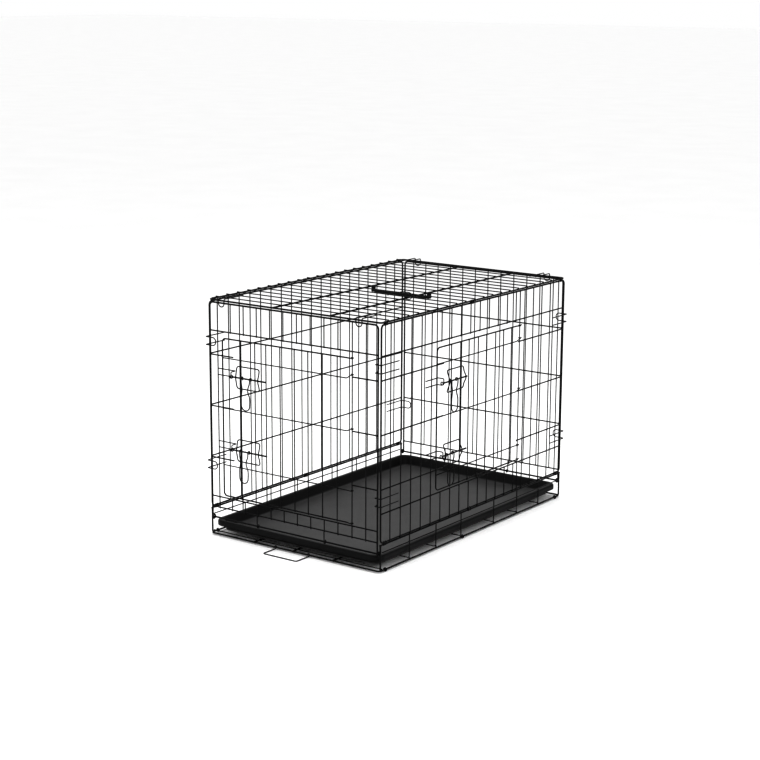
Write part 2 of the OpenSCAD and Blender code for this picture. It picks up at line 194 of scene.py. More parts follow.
class Wall:
    """The directions of a wall: along it, outwards and up."""

    def __init__(self, along, out):
        self.along, self.out = Vector(along), Vector(out)

    def at(self, a, o, z):
        return self.along * a + self.out * o + UP * z

    def of(self, point):
        """(along, outwards, up) of a point."""
        return self.along.dot(point), self.out.dot(point), point[2]

    def span(self, points):
        """(low, high) along, outwards and up of some points."""
        places = [self.of(Vector(p)) for p in points]
        return [(min(c), max(c)) for c in zip(*places)]

    def turn(self, centre, radius, first, sweep, shift=0.0, steps=None):
        """Points round centre about the along direction; 0 degrees is outwards, 90 is up."""
        a, o, z = self.of(centre)
        steps = steps or max(4, round(abs(sweep) / 15))
        path = []
        for k in range(steps + 1):
            angle = math.radians(first + sweep * k / steps)
            out, up = radius * math.cos(angle), radius * math.sin(angle)
            path.append(self.at(a + shift * k / steps, o + out, z + up))
        return path


FRONT = Wall((1, 0, 0), (0, -1, 0))
BACK = Wall((-1, 0, 0), (0, 1, 0))
RIGHT = Wall((0, 1, 0), (1, 0, 0))


# ---------- solids in mesh code: each returns (vertices, faces) ----------

def loft(rings, closed=False):
    """Skin over rings of the same number of points, capped at both ends unless closed."""
    count, sides = len(rings), len(rings[0])
    vertices = [p for ring in rings for p in ring]
    faces = []
    for k in range(count if closed else count - 1):
        a, b = k * sides, (k + 1) % count * sides
        for j in range(sides):
            i = (j + 1) % sides
            faces.append((a + j, a + i, b + i, b + j))
    if not closed:
        last = (count - 1) * sides
        faces.append(tuple(reversed(range(sides))))
        faces.append(tuple(range(last, last + sides)))
    return vertices, faces


def along_path(points, closed=False):
    """The unit directions along a path, and one across it that twists as little as it can."""
    count = len(points)
    ahead = []
    for k in range(count):
        p = points[k - 1] if closed or k else points[0]
        q = points[(k + 1) % count] if closed or k < count - 1 else points[-1]
        ahead.append((q - p).normalized())
    across = [ahead[0].orthogonal().normalized()]
    for k in range(1, count):
        turn = ahead[k - 1].rotation_difference(ahead[k])
        side = turn @ across[-1]
        across.append((side - side.dot(ahead[k]) * ahead[k]).normalized())
    if closed:
        last = ahead[-1].rotation_difference(ahead[0]) @ across[-1]
        twist = math.atan2(last.cross(across[0]).dot(ahead[0]), last.dot(across[0]))
        across = [Quaternion(t, twist * k / count) @ s for k, (t, s) in enumerate(zip(ahead, across))]
    return ahead, across


def tube(points, radius, closed=False, sides=10):
    """A round wire along points, with rounded ends. radius is one number or one for each point."""
    points = [Vector(p) for p in points]
    radii = list(radius) if isinstance(radius, (list, tuple)) else [radius] * len(points)
    if not closed:
        points, radii = round_end(*round_end(points, radii))
    ahead, across = along_path(points, closed)
    rings = []
    for p, r, t, s in zip(points, radii, ahead, across):
        other = t.cross(s)
        angles = [2 * math.pi * k / sides for k in range(sides)]
        rings.append([p + r * (s * math.cos(a) + other * math.sin(a)) for a in angles])
    return loft(rings, closed)


def round_end(points, radii):
    """Rounds the wire's first end over and returns both lists turned round."""
    r = radii[0]
    into = (points[1] - points[0]).normalized()
    start = points[0]
    points = [start, start + into * 0.12 * r, start + into * 0.45 * r, *points[1:]]
    radii = [0.5 * r, 0.84 * r, r, *radii[1:]]
    return points[::-1], radii[::-1]


def bead(centre, axes):
    """A small rounded lump of weld with the given half axes."""
    sides = 8
    rings = []
    for tilt in (-75, -35, 0, 35, 75):
        t = math.radians(tilt)
        ring = []
        for k in range(sides):
            a = 2 * math.pi * k / sides
            ring.append(centre + axes[0] * math.cos(a) * math.cos(t)
                        + axes[1] * math.sin(a) * math.cos(t) + axes[2] * math.sin(t))
        rings.append(ring)
    return loft(rings)


def unit(axis):
    """The unit vector of axis 0, 1 or 2."""
    return Vector([1.0 if k == axis else 0.0 for k in range(3)])


def weld_beads(wires):
    """A bead where two straight wires cross and touch, or where one ends on another."""
    parts = []
    for k, one in enumerate(wires):
        for two in wires[k + 1:]:
            if one.axis == two.axis:
                continue
            third = 3 - one.axis - two.axis
            apart = two.start[third] - one.start[third]
            reach = one.radius + two.radius
            if abs(apart) > reach + WELD_SLACK:
                continue
            x, y = two.start[one.axis], one.start[two.axis]
            past = reach + 0.2 * MM
            if not one.start[one.axis] - past < x < one.end[one.axis] + past:
                continue
            if not two.start[two.axis] - past < y < two.end[two.axis] + past:
                continue
            if abs(apart) > 0.8 * reach:
                centre = Vector((0, 0, 0))
                centre[one.axis], centre[two.axis] = x, y
                centre[third] = one.start[third] + apart * one.radius / reach
                parts.append(bead(centre, (unit(one.axis) * 1.25 * two.radius,
                                           unit(two.axis) * 1.25 * one.radius,
                                           unit(third) * 0.5 * reach)))
                continue
            parts += butt_beads(one, two) + butt_beads(two, one)
    return parts


def butt_beads(one, two):
    """Beads where an end of wire one meets the side of wire two in the same layer."""
    parts = []
    for end, into in ((one.start, 1), (one.end, -1)):
        gap = abs(end[one.axis] - two.start[one.axis]) - two.radius
        if abs(gap) < WELD_SLACK:
            third = 3 - one.axis - two.axis
            centre = end + unit(one.axis) * into * 0.3 * one.radius
            parts.append(bead(centre, (unit(one.axis) * 0.75 * one.radius,
                                       unit(two.axis) * 1.3 * one.radius,
                                       unit(third) * 1.18 * one.radius)))
    return parts


# ---------- finishes ----------

class Nodes:
    """A new material with a Principled shader, and short ways to add texture nodes."""

    def __init__(self, name):
        self.material = bpy.data.materials.new(name)
        self.material.use_nodes = True
        self.tree = self.material.node_tree
        self.shader = self.tree.nodes["Principled BSDF"]
        self.place = self.tree.nodes.new("ShaderNodeTexCoord").outputs["Object"]

    def noise(self, scale, detail=2.0, rough=0.5):
        node = self.tree.nodes.new("ShaderNodeTexNoise")
        node.inputs["Scale"].default_value = scale
        node.inputs["Detail"].default_value = detail
        node.inputs["Roughness"].default_value = rough
        self.tree.links.new(self.place, node.inputs["Vector"])
        return node.outputs["Fac"]

    def cells(self, scale):
        node = self.tree.nodes.new("ShaderNodeTexVoronoi")
        node.inputs["Scale"].default_value = scale
        self.tree.links.new(self.place, node.inputs["Vector"])
        return node.outputs["Distance"]

    def ramp(self, value, stops):
        """Colour, or grey, over value; stops are (place, colour or number)."""
        node = self.tree.nodes.new("ShaderNodeValToRGB")
        ramp = node.color_ramp
        while len(ramp.elements) < len(stops):
            ramp.elements.new(0.5)
        for element, (place, colour) in zip(ramp.elements, stops):
            element.position = place
            element.color = (*colour, 1) if isinstance(colour, tuple) else (colour, colour, colour, 1)
        self.tree.links.new(value, node.inputs["Fac"])
        return node.outputs["Color"]

    def over_height(self, low, high):
        """0 below the height low, 1 above the height high."""
        split = self.tree.nodes.new("ShaderNodeSeparateXYZ")
        self.tree.links.new(self.place, split.inputs["Vector"])
        node = self.tree.nodes.new("ShaderNodeMapRange")
        node.inputs["From Min"].default_value = low
        node.inputs["From Max"].default_value = high
        self.tree.links.new(split.outputs["Z"], node.inputs["Value"])
        return node.outputs["Result"]

    def mix(self, factor, a, b):
        node = self.tree.nodes.new("ShaderNodeMix")
        node.data_type = "RGBA"
        for socket, source in ((node.inputs[0], factor), (node.inputs[6], a), (node.inputs[7], b)):
            self.tree.links.new(source, socket)
        return node.outputs[2]

    def bump(self, height, strength, distance, under=None):
        node = self.tree.nodes.new("ShaderNodeBump")
        node.inputs["Strength"].default_value = strength
        node.inputs["Distance"].default_value = distance
        self.tree.links.new(height, node.inputs["Height"])
        if under is not None:
            self.tree.links.new(under, node.inputs["Normal"])
        return node.outputs["Normal"]

    def wear_to(self, socket, source):
        self.tree.links.new(source, self.shader.inputs[socket])


def powder_coat(name, dark, light, gloss=0.34, rubbed=None):
    """Black powder coat: uneven gloss, orange peel, and paler rubbed spots where given."""
    n = Nodes(name)
    tone = n.ramp(n.noise(70, 4), [(0.3, (dark, dark, dark * 1.04)),
                                   (0.75, (light, light, light * 1.05))])
    rough = n.ramp(n.noise(420, 3), [(0.3, gloss - 0.08), (0.72, gloss + 0.12)])
    if rubbed:
        spots = n.ramp(n.noise(160, 5, 0.7), [(0.60, 0.0), (0.70, 1.0)])
        bare = n.ramp(n.noise(900, 2), [(0.2, (rubbed, rubbed, rubbed)), (0.8, (rubbed * 1.5,) * 3)])
        tone = n.mix(spots, tone, bare)
    n.wear_to("Base Color", tone)
    n.wear_to("Roughness", rough)
    peel = n.bump(n.noise(950, 2), 0.35, 0.12 * MM)
    n.wear_to("Normal", n.bump(n.noise(160, 3), 0.3, 0.25 * MM, peel))
    n.shader.inputs["Specular IOR Level"].default_value = 0.08
    return n.material


def moulded_plastic(name, dark, light, low, high, grain, sheen, painted_floor_reflection=None):
    """Moulded plastic: fine grain and cloudy gloss. The last argument is (tone, height it fades out over): a paler
    grey painted on the floor below that height, standing in for the reflection of the white surroundings.
    """
    n = Nodes(name)
    tone = n.ramp(n.noise(9, 5, 0.6), [(0.3, (dark,) * 3), (0.75, (light, light, light * 1.04))])
    if painted_floor_reflection:
        grey, level = painted_floor_reflection
        # painted reflection: below the level the floor turns a paler grey, standing in for the white surroundings
        # mirrored at a glancing angle
        painted_reflection_tone = n.ramp(n.noise(6, 6, 0.65), [(0.3, (grey,) * 3), (0.72, (1.35 * grey,) * 3)])
        tone = n.mix(n.over_height(level, level + 4 * MM), painted_reflection_tone, tone)
    n.wear_to("Base Color", tone)
    cloudy = n.ramp(n.noise(7, 4, 0.65), [(0.3, low), (0.72, high)])
    fine = n.ramp(n.noise(260, 3, 0.7), [(0.35, low + 0.02), (0.8, high + 0.06)])
    half = n.ramp(n.noise(40, 2), [(0.3, 0.2), (0.7, 0.6)])
    n.wear_to("Roughness", n.mix(half, cloudy, fine))
    skin = n.bump(n.cells(grain), 0.25, 0.08 * MM)
    n.wear_to("Normal", n.bump(n.noise(14, 2), 0.12, 1.2 * MM, skin))
    n.shader.inputs["Specular IOR Level"].default_value = sheen
    return n.material


FINISH = {
    "frame_wire": powder_coat("frame_coat", 0.004, 0.008),
    "fill_wire": powder_coat("fill_coat", 0.004, 0.008, 0.36),
    "latch_wire": powder_coat("latch_coat", 0.004, 0.008, 0.30, 0.025),
    "bolt_wire": powder_coat("bolt_coat", 0.004, 0.009, 0.28, 0.06),
    "clip_metal": powder_coat("clip_coat", 0.005, 0.011, 0.32, 0.04),
    # the tray's last argument paints its floor a paler grey, a painted reflection of the white surroundings
    "tray_plastic": moulded_plastic("tray_skin", 0.004, 0.007, 0.36, 0.46, 1500, 0.14,
                                    (0.060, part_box("floor_tray")[0].z + 2.6 * MM)),
    "grip_plastic": moulded_plastic("grip_skin", 0.004, 0.007, 0.38, 0.52, 1900, 0.12),
}


def piece(name, slot, parts, *nodes):
    """One mesh of several parts that stands for CAD nodes and rides on their body."""
    vertices, faces = [], []
    for part_vertices, part_faces in parts:
        base = len(vertices)
        vertices.extend(part_vertices)
        faces.extend([base + i for i in face] for face in part_faces)
    mesh = bpy.data.meshes.new(name)
    mesh.from_pydata(vertices, [], faces)
    mesh.polygons.foreach_set("use_smooth", [True] * len(faces))
    mesh.materials.append(FINISH[slot])
    made = bpy.data.objects.new(name, mesh)
    bpy.context.scene.collection.objects.link(made)
    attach(made, BODY[nodes[0]])
    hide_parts(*nodes)
    return made


# ---------- panels: frames and grids ----------

def plain_wires(node, slot, extra=(), sides=10):
    """A piece with every continuous wire of a CAD node, and any extra parts."""
    parts = [tube(points, radius, closed, sides) for points, closed, radius in joined(node)]
    return piece(node + "_wires", slot, parts + list(extra), node)


def body_beads(*nodes):
    """Weld beads between the straight wires of some CAD nodes."""
    return weld_beads([w for n in nodes for w in cad_wires(n)[0]])


def floor():
    """Floor frame, cross wires bent up at both sides, sills and foot loops."""
    plain_wires("floor_frame", "frame_wire", sides=HEAVY_SIDES)
    cross, _ = cad_wires("floor_cross_wires")
    legs = [w for w in cross if w.axis == 2]
    parts = []
    for wire in (w for w in cross if w.axis == 0):
        low = wire.start.z
        ends = [w for w in legs if abs(w.start.y - wire.start.y) < MM]
        if not ends:
            parts.append(tube([wire.start, wire.end], wire.radius))
            continue
        left, right = sorted(ends, key=lambda w: w.start.x)
        corners = [Vector((w.start.x, w.start.y, low)) for w in (left, right)]
        parts.append(tube(bent([left.end, *corners, right.end], 5 * MM), wire.radius))
    beads = body_beads("floor_frame", "floor_cross_wires", "floor_sills")
    piece("floor_cross_wires_bent", "fill_wire", parts + beads, "floor_cross_wires")
    plain_wires("floor_sills", "frame_wire", sides=HEAVY_SIDES)
    loops = []
    for points in solids("floor_foot_loops"):
        (a0, a1), (o0, o1), (z0, z1) = FRONT.span(points)
        thick = (o1 - o0) / 2
        centre = Vector(((a0 + a1) / 2, -(o0 + o1) / 2, (z0 + z1) / 2))
        circle = RIGHT.turn(centre, (z1 - z0) / 2 - thick, 0, 360, steps=20)[:-1]
        loops.append(tube(circle, thick, closed=True))
    piece("foot_loops", "latch_wire", loops, "floor_foot_loops")


def turned_nose(low, high):
    """Joins two legs of a hook by a bow that turns in beside the post."""
    (p, q), bow = (low[-1], high[-1]), []
    bend = 3 * MM
    x = p.x - bend - WELD_GAP
    inner = p.y + bend + WELD_GAP
    for end in (p, q):
        corner, stop = Vector((x, end.y, end.z)), Vector((x, inner, end.z))
        bow.append(bent([end, corner, stop], bend)[1:-1])
    centre = Vector((x, inner, (p.z + q.z) / 2))
    arc = FRONT.turn(centre, (q.z - p.z) / 2, 270, -180)
    return low + bow[0] + arc + bow[1][::-1] + high[::-1]


def end_hooks(node):
    """The hooks of a side panel, each one continuous wire."""
    parts, halves = [], []
    for points, _, radius in joined(node):
        if abs(points[0].y - points[-1].y) < MM:
            parts.append(tube(points, radius))
        else:
            halves.append(points if points[0].y > points[-1].y else points[::-1])
    halves.sort(key=lambda points: points[0].z)
    for low, high in zip(halves[::2], halves[1::2]):
        parts.append(tube(turned_nose(low, high), radius))
    piece(node + "_wires", "latch_wire", parts, node)


def end_panel(name, wall, pivot):
    """Frame of an end panel with its feet curled round the floor's end wire, and its short hooks."""
    (points, _, radius), = joined(name + "_frame")
    out = wall.of(points[0])[1] - wall.of(pivot)[1]
    curls = []
    for foot in (points[0], points[-1]):
        centre = Vector((foot.x, pivot.y, pivot.z))
        curls.append(wall.turn(centre, out, 90, 270))
    path = curls[0] + points[1:-1] + curls[1][::-1]
    piece(name + "_frame_wire", "frame_wire", [tube(path, radius, sides=HEAVY_SIDES)], name + "_frame")
    hooks = []
    for wire in cad_wires(name + "_pivot_hooks")[0]:
        centre = Vector((wire.start.x, pivot.y, pivot.z))
        out = wall.of(wire.start)[1] - wall.of(pivot)[1]
        curl = wall.turn(centre, out, 90, 270)
        hooks.append(tube(curl + [wire.end], wire.radius))
    piece(name + "_pivot_curls", "fill_wire", hooks, name + "_pivot_hooks")


def panels():
    """The floor and all five wire panels, with their hooks."""
    floor()
    for side in ("right", "left"):
        plain_wires(side + "_frame", "frame_wire", sides=HEAVY_SIDES)
        end_hooks(side + "_end_hooks")
    plain_wires("right_grid", "fill_wire", body_beads("right_frame", "right_grid", "right_door_post"))
    plain_wires("right_door_post", "fill_wire")
    plain_wires("left_grid", "fill_wire", body_beads("left_frame", "left_grid"))
    plain_wires("top_frame", "frame_wire", sides=HEAVY_SIDES)
    plain_wires("top_runners", "frame_wire", sides=HEAVY_SIDES)
    plain_wires("top_grid", "fill_wire", body_beads("top_frame", "top_runners", "top_grid"))
    plain_wires("top_end_hooks", "latch_wire")
    end_panel("front", FRONT, AXIS["front_panel_fold"])
    end_panel("back", BACK, AXIS["back_panel_fold"])
    plain_wires("front_grid", "fill_wire", body_beads("front_frame", "front_grid", "front_door_post"))
    plain_wires("front_door_post", "fill_wire")
    plain_wires("back_grid", "fill_wire", body_beads("back_frame", "back_grid"))


# ---------- clips ----------

def crimped_clip(points):
    """A strip wrapped round two wires, one above the other, its ends meeting on the inner side."""
    low, high = points.min(0), points.max(0)
    centre, half = Vector((low + high) / 2), (high[0] - low[0]) / 2
    thick = 0.8 * MM
    radius = half - thick / 2
    rise = (high[2] - low[2]) / 2 - half
    inner = -math.copysign(1, centre.x)
    outline = []
    for sign, first in ((-1, 180), (1, 0)):
        for k in range(13):
            angle = math.radians(first + 15 * k)
            x, z = radius * math.cos(angle), radius * math.sin(angle) + sign * rise
            outline.append(Vector((inner * x, 0, z)))
    seam = Vector((inner * -radius, 0, 0))
    start = seam + Vector((0, 0, -0.25 * MM))
    stop = seam + Vector((0, 0, 0.25 * MM))
    outline = [start, *outline, stop]
    width = (high[1] - low[1]) / 2
    soft = 0.2 * MM
    ahead, _ = along_path(outline)
    rings = []
    for p, t in zip(outline, ahead):
        out = t.cross(Vector((0, 1, 0)))
        section = []
        for u, v in ((-1, -1), (1, -1), (1, 1), (-1, 1)):
            pair = [(u * (width - soft), v * thick / 2), (u * width, v * (thick / 2 - soft))]
            section += pair if u == v else pair[::-1]
        rings.append([centre + p + Vector((0, w, 0)) + out * h for w, h in section])
    return loft(rings)


def clips():
    for node in ("sill_clips", "left_sill_clips", "right_top_clips", "top_left_clips"):
        piece(node + "_crimped", "clip_metal", [crimped_clip(p) for p in solids(node)], node)


# ---------- doors ----------

COIL_RADIUS = 2.58 * MM
COIL_WIRE = 1.02 * MM
COIL_RISE = 2.2 * MM
COIL_RUN = 16 * MM  # length over which a door wire draws down to its coil
COIL_TIP = 4.5 * MM


def wrapped_end(wall, post, place, z, knuckle, radius):
    """Points and radii of a door wire's hinge end: it draws down and coils once round the post."""
    a, o, _ = wall.of(post)
    start = wall.at(a - COIL_RUN, place, z)
    on = wall.at(a, o + COIL_RADIUS, knuckle - COIL_RISE / 2)
    ahead = wall.along * COIL_RUN
    points, radii = [], []
    for k in range(9):
        t = k / 8
        s = t * t * (3 - 2 * t)
        points.append(start + ahead * t + (on - start - ahead) * s)
        radii.append(radius + (COIL_WIRE - radius) * s)
    for k in range(1, 25):
        turn = 2 * math.pi * k / 24
        points.append(wall.at(a + COIL_RADIUS * math.sin(turn), o + COIL_RADIUS * math.cos(turn),
                              knuckle - COIL_RISE / 2 + COIL_RISE * k / 24))
        radii.append(COIL_WIRE)
    points.append(points[-1] + wall.along * COIL_TIP)
    radii.append(COIL_WIRE)
    return points, radii


def door(name, wall, post_node):
    """A door: its frame and rails coil round the hinge wire, its upright wires are welded on."""
    post = cad_wires(post_node)[0][0].start
    levels = sorted(sum(wall.span(p)[2]) / 2 for p in solids(name + "_knuckles"))
    (points, _, radius), = joined(name + "_frame")
    if points[0].z > points[-1].z:
        points = points[::-1]
    place = wall.of(points[0])[1]
    low, low_radii = wrapped_end(wall, post, place, points[0].z, levels[0], radius)
    high, high_radii = wrapped_end(wall, post, place, points[-1].z, levels[-1], radius)
    path = low[::-1] + points[1:-1] + high
    radii = low_radii[::-1] + [radius] * (len(points) - 2) + high_radii
    piece(name + "_frame_wire", "frame_wire", [tube(path, radii, sides=HEAVY_SIDES)], name + "_frame")

    grid, _ = cad_wires(name + "_grid")
    rails = sorted((w for w in grid if w.axis != 2), key=lambda w: w.start.z)
    parts = [tube([w.start, w.end], w.radius) for w in grid if w.axis == 2]
    for rail, level in zip(rails, levels[1:-1]):
        free = min(rail.start, rail.end, key=lambda p: wall.of(p)[0])
        end, end_radii = wrapped_end(wall, post, wall.of(free)[1], free.z, level, rail.radius)
        parts.append(tube([free, *end], [rail.radius, *end_radii]))
    parts += body_beads(name + "_frame", name + "_grid")
    piece(name + "_grid_wires", "fill_wire", parts, name + "_grid", name + "_knuckles")


# ---------- latches ----------

def guide(wall, points, bolt):
    """A closed wire loop that bridges the bolt, its ends drawn together over it."""
    (a0, a1), (o0, o1), (z0, z1) = wall.span(points)
    r = GUIDE_RADIUS
    a0, a1, o0, o1, z0, z1 = a0 + r, a1 - r, o0 + r, o1 - r, z0 + r, z1 - r
    mid = bolt.start.z
    left, right = a0 + 2 * MM, a1 - 1 * MM
    shoulder = o0 + 0.3 * (o1 - o0)
    corners = [
        ((a0, o0, z1), 5), ((right, o0, z1), 7), ((right, shoulder, mid + 14 * MM), 6),
        ((a1, o1, mid + 3 * MM), 4), ((a1, o1, mid - 3 * MM), 4),
        ((right, shoulder, mid - 14 * MM), 6), ((right, o0, z0), 7), ((a0, o0, z0), 5),
        ((left, o1, mid - 3 * MM), 5), ((left, o1, mid + 3 * MM), 5),
    ]
    path = bent([wall.at(*place) for place, _ in corners], [size * MM for _, size in corners], True)
    return tube(path, r, closed=True)


def handle(wall, points, bolt):
    """A wire U with a waist; its two ends curl over the bolt."""
    (a0, a1), _, (z0, _) = wall.span(points)
    r = GUIDE_RADIUS
    a0, a1, z0 = a0 + r, a1 - r, z0 + r
    _, o, z = wall.of(bolt.start)
    ring = bolt.radius + 0.25 * MM + r
    half = (a1 - a0) / 2
    path = wall.turn(wall.at(a0, o, z), ring, 270, -270)
    path += curve_through([
        wall.at(a0, o + ring, z - 2 * MM), wall.at(a0 + 0.4 * MM, o + ring, z - 10 * MM),
        wall.at(a0 + 2.2 * MM, o + ring, z - 24 * MM), wall.at(a0, o + ring, z - 42 * MM),
        wall.at(a0, o + ring, z0 + half),
    ])
    for k in range(1, 12):
        angle = math.pi * k / 12
        bow, drop = half * math.cos(angle), half * math.sin(angle)
        path.append(wall.at(a0 + half - bow, o + ring, z0 + half - drop))
    path += curve_through([
        wall.at(a1, o + ring, z0 + half), wall.at(a1, o + ring, z - 42 * MM),
        wall.at(a1 - 5.5 * MM, o + ring, z - 25 * MM), wall.at(a1 - 0.8 * MM, o + ring, z - 10 * MM),
        wall.at(a1, o + ring, z - 2 * MM),
    ])
    path += wall.turn(wall.at(a1, o, z), ring, 0, 270)
    return tube(path, r)


def keeper(wall, points, bolt):
    """Two legs on the panel joined by an eye round the bolt's path."""
    (a0, a1), (o0, _), (z0, z1) = wall.span(points)
    r = KEEPER_RADIUS
    _, o, z = wall.of(bolt.start)
    eye = z - z0 - r
    leg, top = o0 + r, z1 - r
    near, far = a1 - r - 1.9 * MM, a1 - r + 1.2 * MM
    path = bent([
        wall.at(a0, leg, top), wall.at(far, leg, top),
        wall.at(far, o + eye, top), wall.at(far, o + eye, z),
    ], 2.6 * MM)[:-1]
    path += wall.turn(wall.at(far, o, z), eye, 0, -450, near - far, 36)
    path += bent([
        wall.at(near, o - 1.5 * MM, z - eye), wall.at(near, leg, z - eye), wall.at(a0, leg, z - eye),
    ], 2.6 * MM)
    return tube(path, r)


def near_level(node, level, reach=45 * MM):
    """The points of a node within reach of a level."""
    points = np.concatenate(solids(node))
    return points[abs(points[:, 2] - level) < reach]


def latches(name, door_name, strikes, wall):
    """Both latches of one door."""
    guides, keepers = [], []
    for level in ("upper", "lower"):
        node = f"{name}_{level}_bolt"
        bolt = cad_wires(node)[0][0]
        guides.append(guide(wall, near_level(door_name + "_guides", bolt.start.z), bolt))
        keepers.append(keeper(wall, near_level(strikes, bolt.start.z), bolt))
        piece(node + "_rod", "bolt_wire", [tube([bolt.start, bolt.end], bolt.radius, sides=14)], node)
        node = f"{name}_{level}_handle"
        parts = [handle(wall, np.concatenate(solids(node)), bolt)]
        piece(node + "_wire", "latch_wire", parts, node)
    piece(door_name + "_guide_loops", "latch_wire", guides, door_name + "_guides")
    piece(strikes + "_keepers", "latch_wire", keepers, strikes)


def tray_stop():
    """The U of wire that swings on the front floor wire to keep the tray in."""
    pivot = AXIS["pan_stop_swing"]
    straight, _ = cad_wires("pan_stop")
    legs = sorted((w for w in straight if w.axis == 1), key=lambda w: w.start.x)
    bar, = (w for w in straight if w.axis == 0)
    eye = pivot.z - bar.start.z
    curls = [FRONT.turn(Vector((w.start.x, pivot.y, pivot.z)), eye, 0, 270) for w in legs]
    corners = [Vector((w.start.x, bar.start.y, bar.start.z)) for w in legs]
    path = curls[0] + bent([curls[0][-1], *corners, curls[1][-1]], 5 * MM)[1:-1] + curls[1][::-1]
    piece("pan_stop_wire", "latch_wire", [tube(path, bar.radius)], "pan_stop")


# ---------- tray ----------

# (inset from the rim, height over the underside) in mm, for a tray PROFILE_HEIGHT high:
# first from the lip's lower edge over the rim to the floor, then back along the underside
TRAY_PROFILE = [
    (0.0, 12.8), (0.0, 19.6), (0.5, 21.6), (1.8, 22.9), (4.0, 23.3), (8.6, 23.3), (10.6, 22.9),
    (12.2, 21.6), (13.2, 19.4), (17.4, 6.4), (18.6, 4.0), (20.8, 2.6), (25.0, 2.2),
]
TRAY_UNDERSIDE = [
    (25.0, 0.0), (18.6, 0.0), (16.4, 0.9), (15.0, 3.4), (11.2, 17.8), (9.8, 20.2), (7.6, 21.1),
    (4.6, 21.1), (2.8, 20.4), (2.1, 18.8), (2.0, 13.2), (1.4, 12.5), (0.6, 12.4),
]
PROFILE_HEIGHT = 23.3
TRAY_CORNER = 26 * MM
CORNER_STEPS = 24
STRAIGHT_STEPS = 12
FLUTES = 5
FLUTE_DEPTH = 1.4 * MM
FLUTE_LOW, FLUTE_HIGH = 3.5, 22.0  # heights in the profile between which the walls are fluted


def tray_ring(low, high, inset, z, flute):
    """One ring round the tray, its corners fluted by the depth flute."""
    half_x, half_y = (high.x - low.x) / 2 - inset, (high.y - low.y) / 2 - inset
    radius = TRAY_CORNER - 0.5 * inset
    ring = []
    for quarter, (sx, sy) in enumerate(((1, 1), (-1, 1), (-1, -1), (1, -1))):
        centre = Vector((sx * (half_x - radius), sy * (half_y - radius), z))
        for k in range(CORNER_STEPS + 1):
            share = k / CORNER_STEPS
            angle = math.pi / 2 * (quarter + share)
            wave = 0.5 - 0.5 * math.cos(2 * math.pi * FLUTES * share)
            reach = radius - flute * wave
            ring.append(centre + reach * Vector((math.cos(angle), math.sin(angle), 0)))
        after = ring[-1]
        nx, ny = ((-1, 1), (-1, -1), (1, -1), (1, 1))[quarter]
        turn = math.pi / 2 * (quarter + 1)
        far = Vector((nx * (half_x - radius), ny * (half_y - radius), z))
        far += radius * Vector((math.cos(turn), math.sin(turn), 0))
        ring += [after.lerp(far, k / STRAIGHT_STEPS) for k in range(1, STRAIGHT_STEPS)]
    return ring


def tray():
    """The tray: one skin from the rolled rim over the fluted corners to the flat floor."""
    low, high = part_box("floor_tray")
    rise = (high.z - low.z) / PROFILE_HEIGHT
    rings = []
    for side in (TRAY_PROFILE, TRAY_UNDERSIDE):
        for inset, height in side:
            on_wall = 10 < inset < 20 and FLUTE_LOW < height < FLUTE_HIGH
            share = (FLUTE_HIGH - height) / (FLUTE_HIGH - FLUTE_LOW)
            flute = FLUTE_DEPTH * math.sin(math.pi * share) if on_wall else 0
            rings.append(tray_ring(low, high, inset * MM, low.z + height * rise, flute))
    vertices, faces = loft(rings, closed=True)
    sides = len(rings[0])
    last = len(TRAY_PROFILE)
    floor_top, floor_under = (last - 1) * sides, last * sides
    faces = [f for f in faces if not (min(f) >= floor_top and max(f) < floor_under + sides)]
    faces.append(tuple(range(floor_top, floor_top + sides)))
    faces.append(tuple(reversed(range(floor_under, floor_under + sides))))
    piece("tray_moulding", "tray_plastic", [(vertices, faces)], "floor_tray")


# ---------- carrying grip ----------

GRIP_STEPS = 48
GRIP_WAIST = 0.82  # width of the strap beside its middle and towards its ends, as a share
GRIP_TAPER = 8 * MM  # length over which the strap narrows at each end
SEAT_STEPS = 14

def grip_ring(x, half_y, half_z, centre_z, sides=28, power=2.7):
    """A rounded, nearly rectangular section across the grip."""
    ring = []
    for k in range(sides):
        a = 2 * math.pi * k / sides
        c, s = math.cos(a), math.sin(a)
        y = math.copysign(abs(c) ** (2 / power), c) * half_y
        z = math.copysign(abs(s) ** (2 / power), s) * half_z
        ring.append(Vector((x, y, centre_z + z)))
    return ring


def grip():
    """A strap of plastic that hangs between the two carrying wires on its snapped feet."""
    low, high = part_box("carry_grip")
    wires = sorted(cad_wires("top_runners")[0], key=lambda w: w.start.x)
    start, end = wires[0].start.x + 2 * MM, wires[1].start.x - 2 * MM
    middle, reach = (start + end) / 2, (end - start) / 2
    half_z = 3.5 * MM
    rings = []
    for k in range(GRIP_STEPS + 1):
        share = -1 + 2 * k / GRIP_STEPS
        x = reach * math.sin(share * math.pi / 2)
        beyond = max(0.0, abs(x) - reach + GRIP_TAPER) / (GRIP_TAPER + 0.2 * MM)
        tip = math.sqrt(max(0.0, 1 - beyond ** 2))
        swell = (1 - GRIP_WAIST) * math.cos(math.pi * x / reach) ** 2 if abs(x) < reach / 2 else 0
        half_y = (high.y - low.y) / 2 * (GRIP_WAIST + swell) * (0.45 + 0.55 * tip)
        rings.append(grip_ring(middle + x, half_y, half_z * (0.5 + 0.5 * tip), low.z + half_z))
    parts = [loft(rings)]
    for wire in wires:
        parts.append(grip_foot(wire, low.z + 0.8 * MM, high.z - 1.4 * MM))
    piece("grip_moulding", "grip_plastic", parts, "carry_grip")


